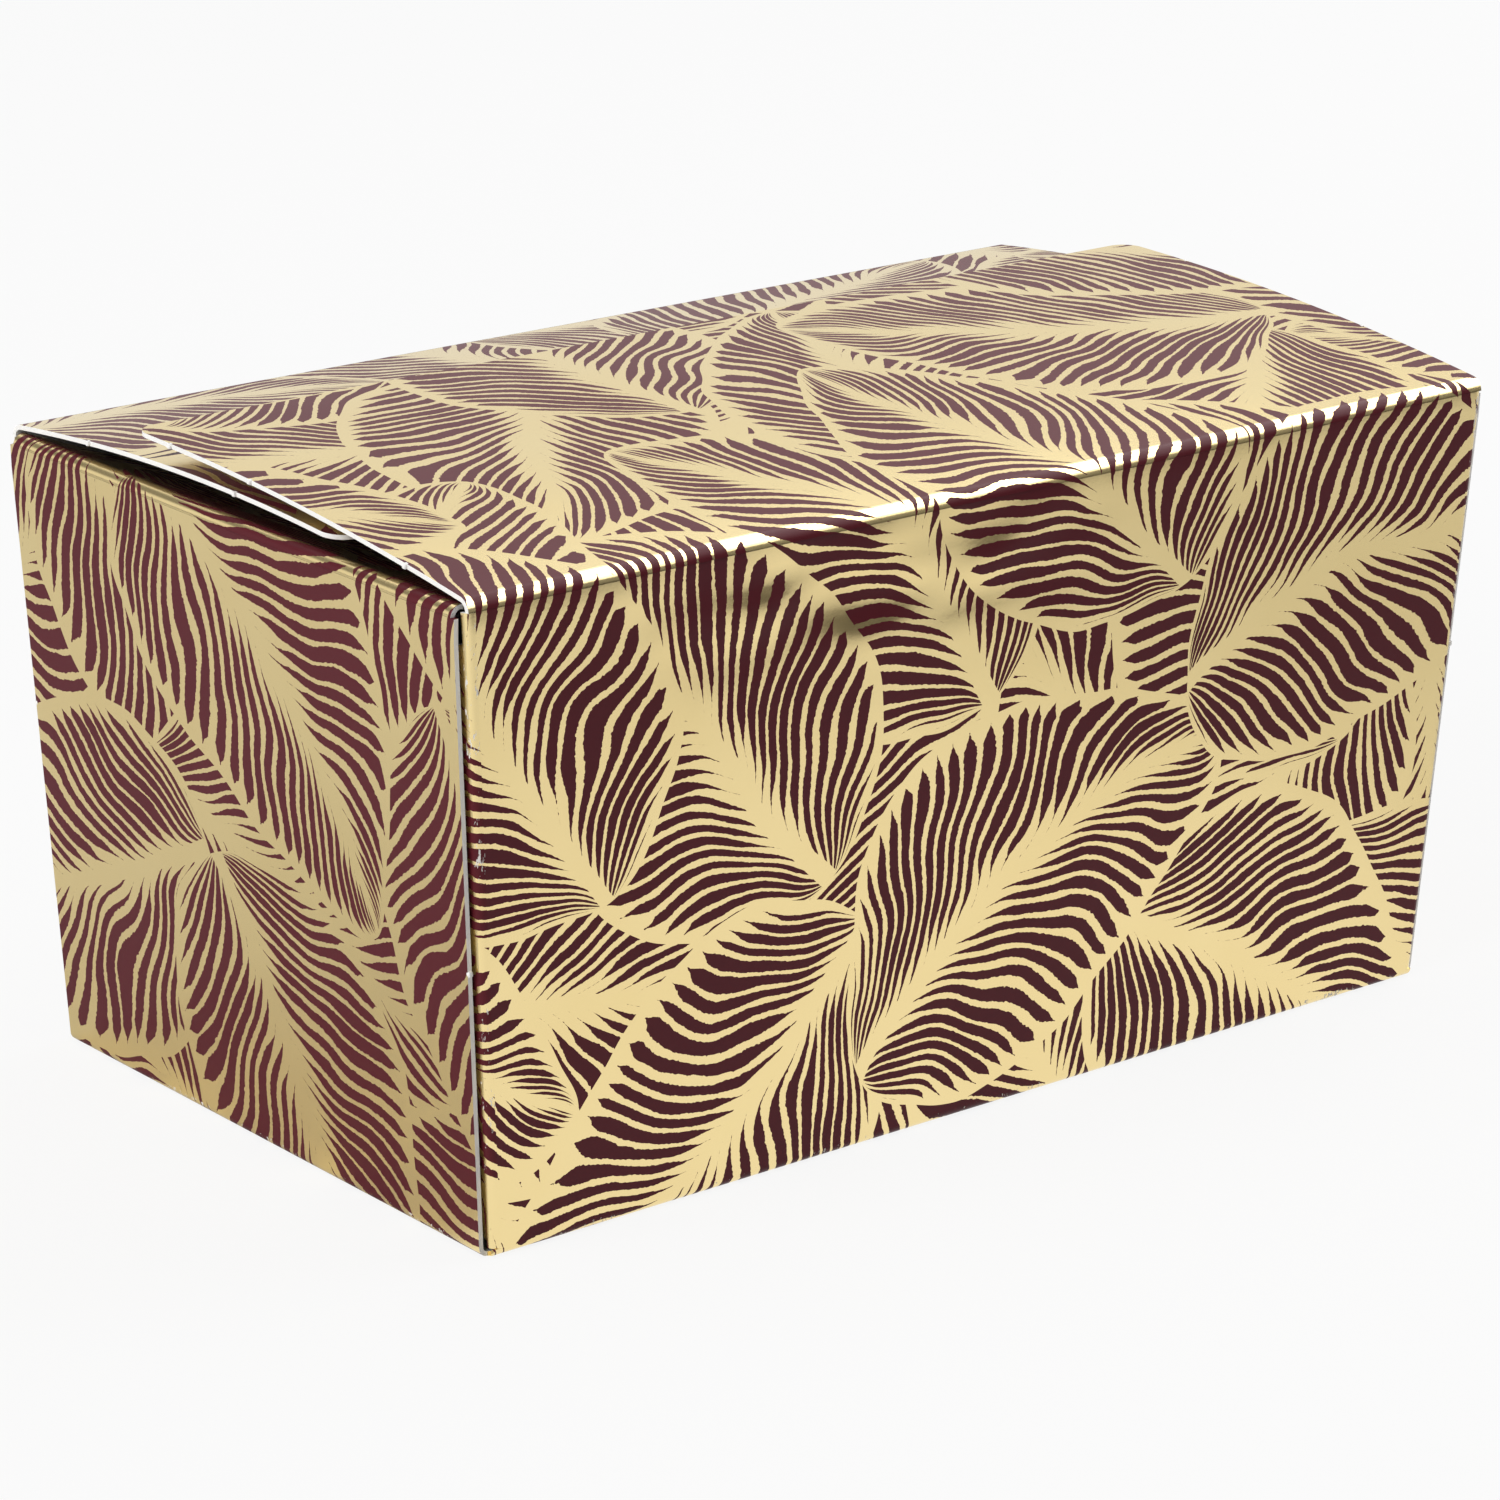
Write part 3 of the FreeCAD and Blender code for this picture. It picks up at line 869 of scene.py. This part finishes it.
# Corner folds and glue flaps
corner_low = setback
corner_high = rim_height - lid_fold_reach
corner_outline = [
    (corner_low, -setback), (corner_high, -setback), (corner_high, setback), (corner_low, setback),
]
corner_rise = Vector(((rim_length - base_length) / 2, (rim_depth - base_depth) / 2, rim_height)) / rim_height
glue_high = end_crease_slant - glue_flap_end_gap
glue_tip_low = glue_flap_end_gap + glue_flap_taper
glue_tip_high = glue_high - glue_flap_taper
for front_name, front in long_sides:
    for side_name, right in end_sides:
        corner_name = f"{front_name}_{side_name}"
        line = Vector((right * corner_rise.x, front * corner_rise.y, 1))
        foot = Vector((right * corner_half, front * base_depth / 2, crease_ground))
        sharp = sharp_fold(foot, line, along_length * right, along_depth * -front)

        def leaning_in(x, y, z, sharp=sharp, front=front):
            return sharp(x, y, z) - along_depth * (front * shoulder(corner_high - x))

        strip = make_panel(
            f"{corner_name}_corner_fold_board", f"{corner_name}_corner_fold",
            corner_outline, square_corners, corner_fold_squares,
            lambda x, y, right=right, front=front: (
                right * (half_length_at(x / rim_height) - glue_flap_shift + y), front * (base_depth / 2 + x)),
            leaning_in, strip_joins, printed_fold,
        )
        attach(strip, "carton")

        outline = [
            (glue_flap_edge(glue_flap_foot_gap, 0), glue_flap_foot_gap),
            (glue_flap_edge(glue_high, 0), glue_high),
            (glue_flap_edge(glue_tip_high, glue_flap_width), glue_tip_high),
            (glue_flap_edge(glue_tip_low, glue_flap_width), glue_tip_low),
        ]
        fold_edge = edge_on(outline[0], outline[1])
        if front != right:
            outline = [(-x, y) for x, y in reversed(outline)]
            fold_edge = edge_on(outline[2], outline[3])
        start = Vector((right * (base_length / 2 - glue_flap_shift), 0, crease_ground))
        stuck = flat_place(start, along_depth * right, end_wall_up(right))

        def leaning(x, y, z, stuck=stuck):
            loose_share = 1 - (glue_flap_edge(y, 0) - abs(x)) / glue_flap_width
            return stuck(x, y, z - corner_slot * loose_share)

        flap = make_panel(
            f"{corner_name}_glue_flap_board", f"{corner_name}_glue_flap",
            outline, square_corners, glue_flap_squares,
            lambda x, y, right=right, front=front: (
                right * (half_length_at(y / end_slant) + half_depth_at(y / end_slant) - abs(x)),
                front * (base_depth / 2 + y)),
            leaning, [fold_edge],
        )
        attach(flap, "carton")

# Lids and their hinge folds
for name, front, reach, bow, lift, nicks in (
    ("front_lid", -1, front_lid_reach, front_lid_bow, front_lid_lift, front_lid_nicks),
    ("back_flap", 1, back_flap_reach, back_flap_bow, back_flap_lift, back_flap_nicks),
):
    away = along_depth * -front
    hinge = Vector((0, front * rim_depth / 2, rim_crease_height))
    across = away.cross(upwards)
    lid_start = away * math.cos(lift) + upwards * math.sin(lift)
    lid_over = upwards * math.cos(lift) - away * math.sin(lift)
    bow_centre = hinge + lid_start * setback - lid_over * bow

    def bowed(x, y, z, bow_centre=bow_centre, across=across, away=away, bow=bow, lift=lift):
        angle = lift - (y - setback) / bow
        ray = upwards * math.cos(angle) - away * math.sin(angle)
        return bow_centre + across * x + ray * (bow + z)

    def on_blank(x, y, front=front):
        return -front * x, front * (base_depth / 2 + long_slant + y)

    folded, begin, turn_start, turn_end = rim_fold(
        hinge, across, long_wall_up(front), lid_start, lid_fold_reach)
    lid = make_panel(
        f"{name}_board", name, strip_outline(lid_half_width, begin, reach),
        (0, 0, lid_corner_radius, lid_corner_radius), lid_squares,
        on_blank, bowed, [edge_at(1, begin)],
    )
    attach(lid, name)
    for number, (side, reach_place) in enumerate(nicks):
        nick = make_nick(f"{name}_nick_{number}", bowed, side * lid_half_width, reach_place)
        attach(nick, name)

    strip = make_panel(
        f"{name}_crease_board", f"{name}_crease",
        strip_outline(lid_half_width, -lid_fold_reach, begin), square_corners, lid_fold_squares,
        on_blank, folded, [edge_at(1, -lid_fold_reach), edge_at(1, begin)],
    )
    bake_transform(strip)

# End flaps and their hinge folds
for side_name, right in end_sides:
    name = f"{side_name}_end_flap"
    away = along_length * -right
    hinge_half = half_length_at(end_crease_height / rim_height)
    hinge = Vector((right * hinge_half, 0, crease_ground + end_crease_height))
    across = away.cross(upwards)
    flap_way = away * math.cos(end_flap_droop) - upwards * math.sin(end_flap_droop)

    def on_blank(x, y, right=right):
        return right * (base_length / 2 + end_crease_slant + y), right * x

    folded, begin, turn_start, turn_end = rim_fold(
        hinge, across, end_wall_up(right), flap_way, end_fold_reach)
    outline = [
        (-end_flap_root_half_width, begin), (end_flap_root_half_width, begin),
        (end_flap_tip_half_width, end_flap_reach), (-end_flap_tip_half_width, end_flap_reach),
    ]
    flap = make_panel(
        f"{name}_board", name, outline,
        (0, 0, end_flap_corner_radius, end_flap_corner_radius), end_flap_squares,
        on_blank, flat_place(hinge, across, flap_way), [edge_at(1, begin)],
    )
    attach(flap, name)

    strip = make_panel(
        f"{name}_crease_board", f"{name}_crease",
        strip_outline(end_flap_root_half_width, -end_fold_reach, begin),
        square_corners, end_flap_fold_squares,
        on_blank, folded, [edge_at(1, -end_fold_reach), edge_at(1, begin)],
    )
    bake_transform(strip)

# The glue seams keep the shape of the CAD model
for name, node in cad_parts.items():
    if name.endswith("_glue_seam"):
        node.data.materials.clear()
        node.data.materials.append(glue)

# Floor: white paper, with a painted pool of light before the front wall and painted shade far in front, both
# seen in gloss only
floor_size = 6
floor_drop = 0.00005
foot_line = -base_depth / 2
pool_reach = 0.26
pool_behind = 0.01
pool_right_edge = (0.16, 0.05)
# Where the painted shade on the far floor begins, as a place in depth
far_shade_edge = (-0.22, -0.38)
white_to_camera = 0.88
white_in_gloss = 0.95
paper_colour = (0.67, 0.67, 0.67, 1)
# Colour of the painted shade on the far floor, seen only in reflections
far_shade_colour = (0.15, 0.14, 0.13, 1)
white_light = (1, 1, 1, 1)

bpy.ops.object.select_all(action="DESELECT")
bpy.ops.mesh.primitive_plane_add(size=floor_size, location=(0, 0, -floor_drop))
floor = bpy.context.object
floor.name = "floor"
paper = Ink.named("floor_paper")
rays = paper.node("ShaderNodeLightPath")
across_floor, deep, _ = paper.parts(paper.node("ShaderNodeTexCoord").wire("Object"))
# Painted pool of light on the floor before the front wall, seen only in reflections
pool_front = paper.ease(deep, foot_line - pool_reach, foot_line)
pool_back = paper.ease(deep, foot_line + pool_behind, foot_line)
painted_pool = pool_front * pool_back * paper.ease(across_floor, *pool_right_edge)
# Painted shade on the floor far in front, seen only in reflections
far_front = paper.ease(deep, *far_shade_edge)
white_seen = rays.wire("Is Camera Ray") * white_to_camera
# Camera rays see even white; glossy rays also see the painted pool of light
white_share = white_seen + rays.wire("Is Glossy Ray") * painted_pool * white_in_gloss
lit = paper.node("ShaderNodeBsdfDiffuse", values={"Color": paper_colour})
white = paper.node("ShaderNodeEmission", values={"Color": white_light, "Strength": 1.0})
far_floor_shade = paper.node("ShaderNodeBsdfDiffuse", values={"Color": far_shade_colour})
paper_with_painted_pool = paper.mixed(white_share, lit.wire("BSDF"), white.wire("Emission"))
paper.output("ShaderNodeOutputMaterial", paper.mixed(
    rays.wire("Is Glossy Ray") * far_front, paper_with_painted_pool, far_floor_shade.wire("BSDF")))
floor.data.materials.append(paper.owner)

# Studio room: even white to the camera, and in gloss a bright panel at the right and dark patches.
# Each edge is where a patch fades in, as a share of the direction across, deep or up.
room_light = 0.1
room_in_gloss = 0.86
dark_in_gloss = 0.25
ceiling_in_gloss = 0.08
panel_in_gloss = 2.4
panel_left_edge = (0.2, 0.4)
panel_right_edge = (0.75, 0.6)
panel_lower_edge = (0.3, 0.45)
panel_back_edge = (0.55, 0.35)
front_dark_back_edge = (-0.15, -0.45)
front_dark_upper_edge = (0.42, 0.25)
front_dark_left_edge = (0.0, 0.35)
left_dark_right_edge = (0.1, -0.2)
left_dark_lower_edge = (0.22, 0.4)
left_dark_front_edge = (0.2, 0.5)
ceiling_edge = (0.82, 0.92)

world = bpy.data.worlds.new("studio")
bpy.context.scene.world = world
room = Ink(world)


def backdrop(strength):
    """An even white surrounding of a strength."""
    values = {"Color": white_light, "Strength": strength}
    return room.node("ShaderNodeBackground", values=values).wire("Background")


room_rays = room.node("ShaderNodeLightPath")
way_across, way_deep, way_up = room.parts(room.node("ShaderNodeTexCoord").wire("Generated"))
panel_width = room.ease(way_across, *panel_left_edge) * room.ease(way_across, *panel_right_edge)
panel = panel_width * room.ease(way_up, *panel_lower_edge) * room.ease(way_deep, *panel_back_edge)
dark_front = room.ease(way_deep, *front_dark_back_edge) * room.ease(way_up, *front_dark_upper_edge)
dark_front = dark_front * room.ease(way_across, *front_dark_left_edge)
dark_left = room.ease(way_across, *left_dark_right_edge) * room.ease(way_up, *left_dark_lower_edge)
dark_left = dark_left * room.ease(way_deep, *left_dark_front_edge)
dark_above = room.ease(way_up, *ceiling_edge)
dark = dark_front.at_least(dark_left)
bright_room = room.mixed(panel, backdrop(room_in_gloss), backdrop(panel_in_gloss))
shaded_room = room.mixed(dark, bright_room, backdrop(dark_in_gloss))
room_seen_in_gloss = room.mixed(dark_above, shaded_room, backdrop(ceiling_in_gloss))
room_on_object = room.mixed(room_rays.wire("Is Glossy Ray"), backdrop(room_light), room_seen_in_gloss)
room.output("ShaderNodeOutputWorld", room.mixed(
    room_rays.wire("Is Camera Ray"), room_on_object, backdrop(1.0)))


def soft_box(name, place, aim, width, height, power):
    """A rectangular lamp, turned towards its aim."""
    lamp = bpy.data.lights.new(name, "AREA")
    lamp.shape = "RECTANGLE"
    lamp.size = width
    lamp.size_y = height
    lamp.energy = power
    holder = bpy.data.objects.new(name, lamp)
    bpy.context.collection.objects.link(holder)
    holder.location = place
    holder.rotation_euler = (Vector(aim) - Vector(place)).to_track_quat("-Z", "Y").to_euler()


box_middle = (0, 0, 0.04)
soft_box("left_soft_box", (-1.05, -0.05, 0.5), box_middle, width=0.8, height=0.6, power=8.4)
soft_box("right_soft_box", (0.8, -0.12, 0.65), box_middle, width=1.1, height=0.8, power=6.5)
soft_box("top_soft_box", (0.0, 0.3, 1.1), (0, 0.2, 0.0), width=2.6, height=1.6, power=11.1)

# Camera, at the photo's angle
azimuth = math.radians(-39.74)
elevation = math.radians(18.07)
roll = math.radians(0.8)
camera_distance = 0.6043
camera_aim = Vector((0, 0, 0.0345))
level = math.cos(elevation)
back = Vector((math.sin(azimuth) * level, -math.cos(azimuth) * level, math.sin(elevation)))
camera = bpy.data.objects.new("camera", bpy.data.cameras.new("camera"))
bpy.context.collection.objects.link(camera)
camera.location = camera_aim + back * camera_distance
camera.rotation_mode = "QUATERNION"
camera.rotation_quaternion = (-back).to_track_quat("-Z", "Y")
camera.rotation_quaternion.rotate(Quaternion(back, roll))
camera.data.sensor_width = 36
camera.data.lens = 133.4
camera.data.shift_x = -0.0058
camera.data.shift_y = -0.0278
camera.data.clip_start = 0.01
bpy.context.scene.camera = camera

bpy.context.scene.view_settings.view_transform = "Standard"
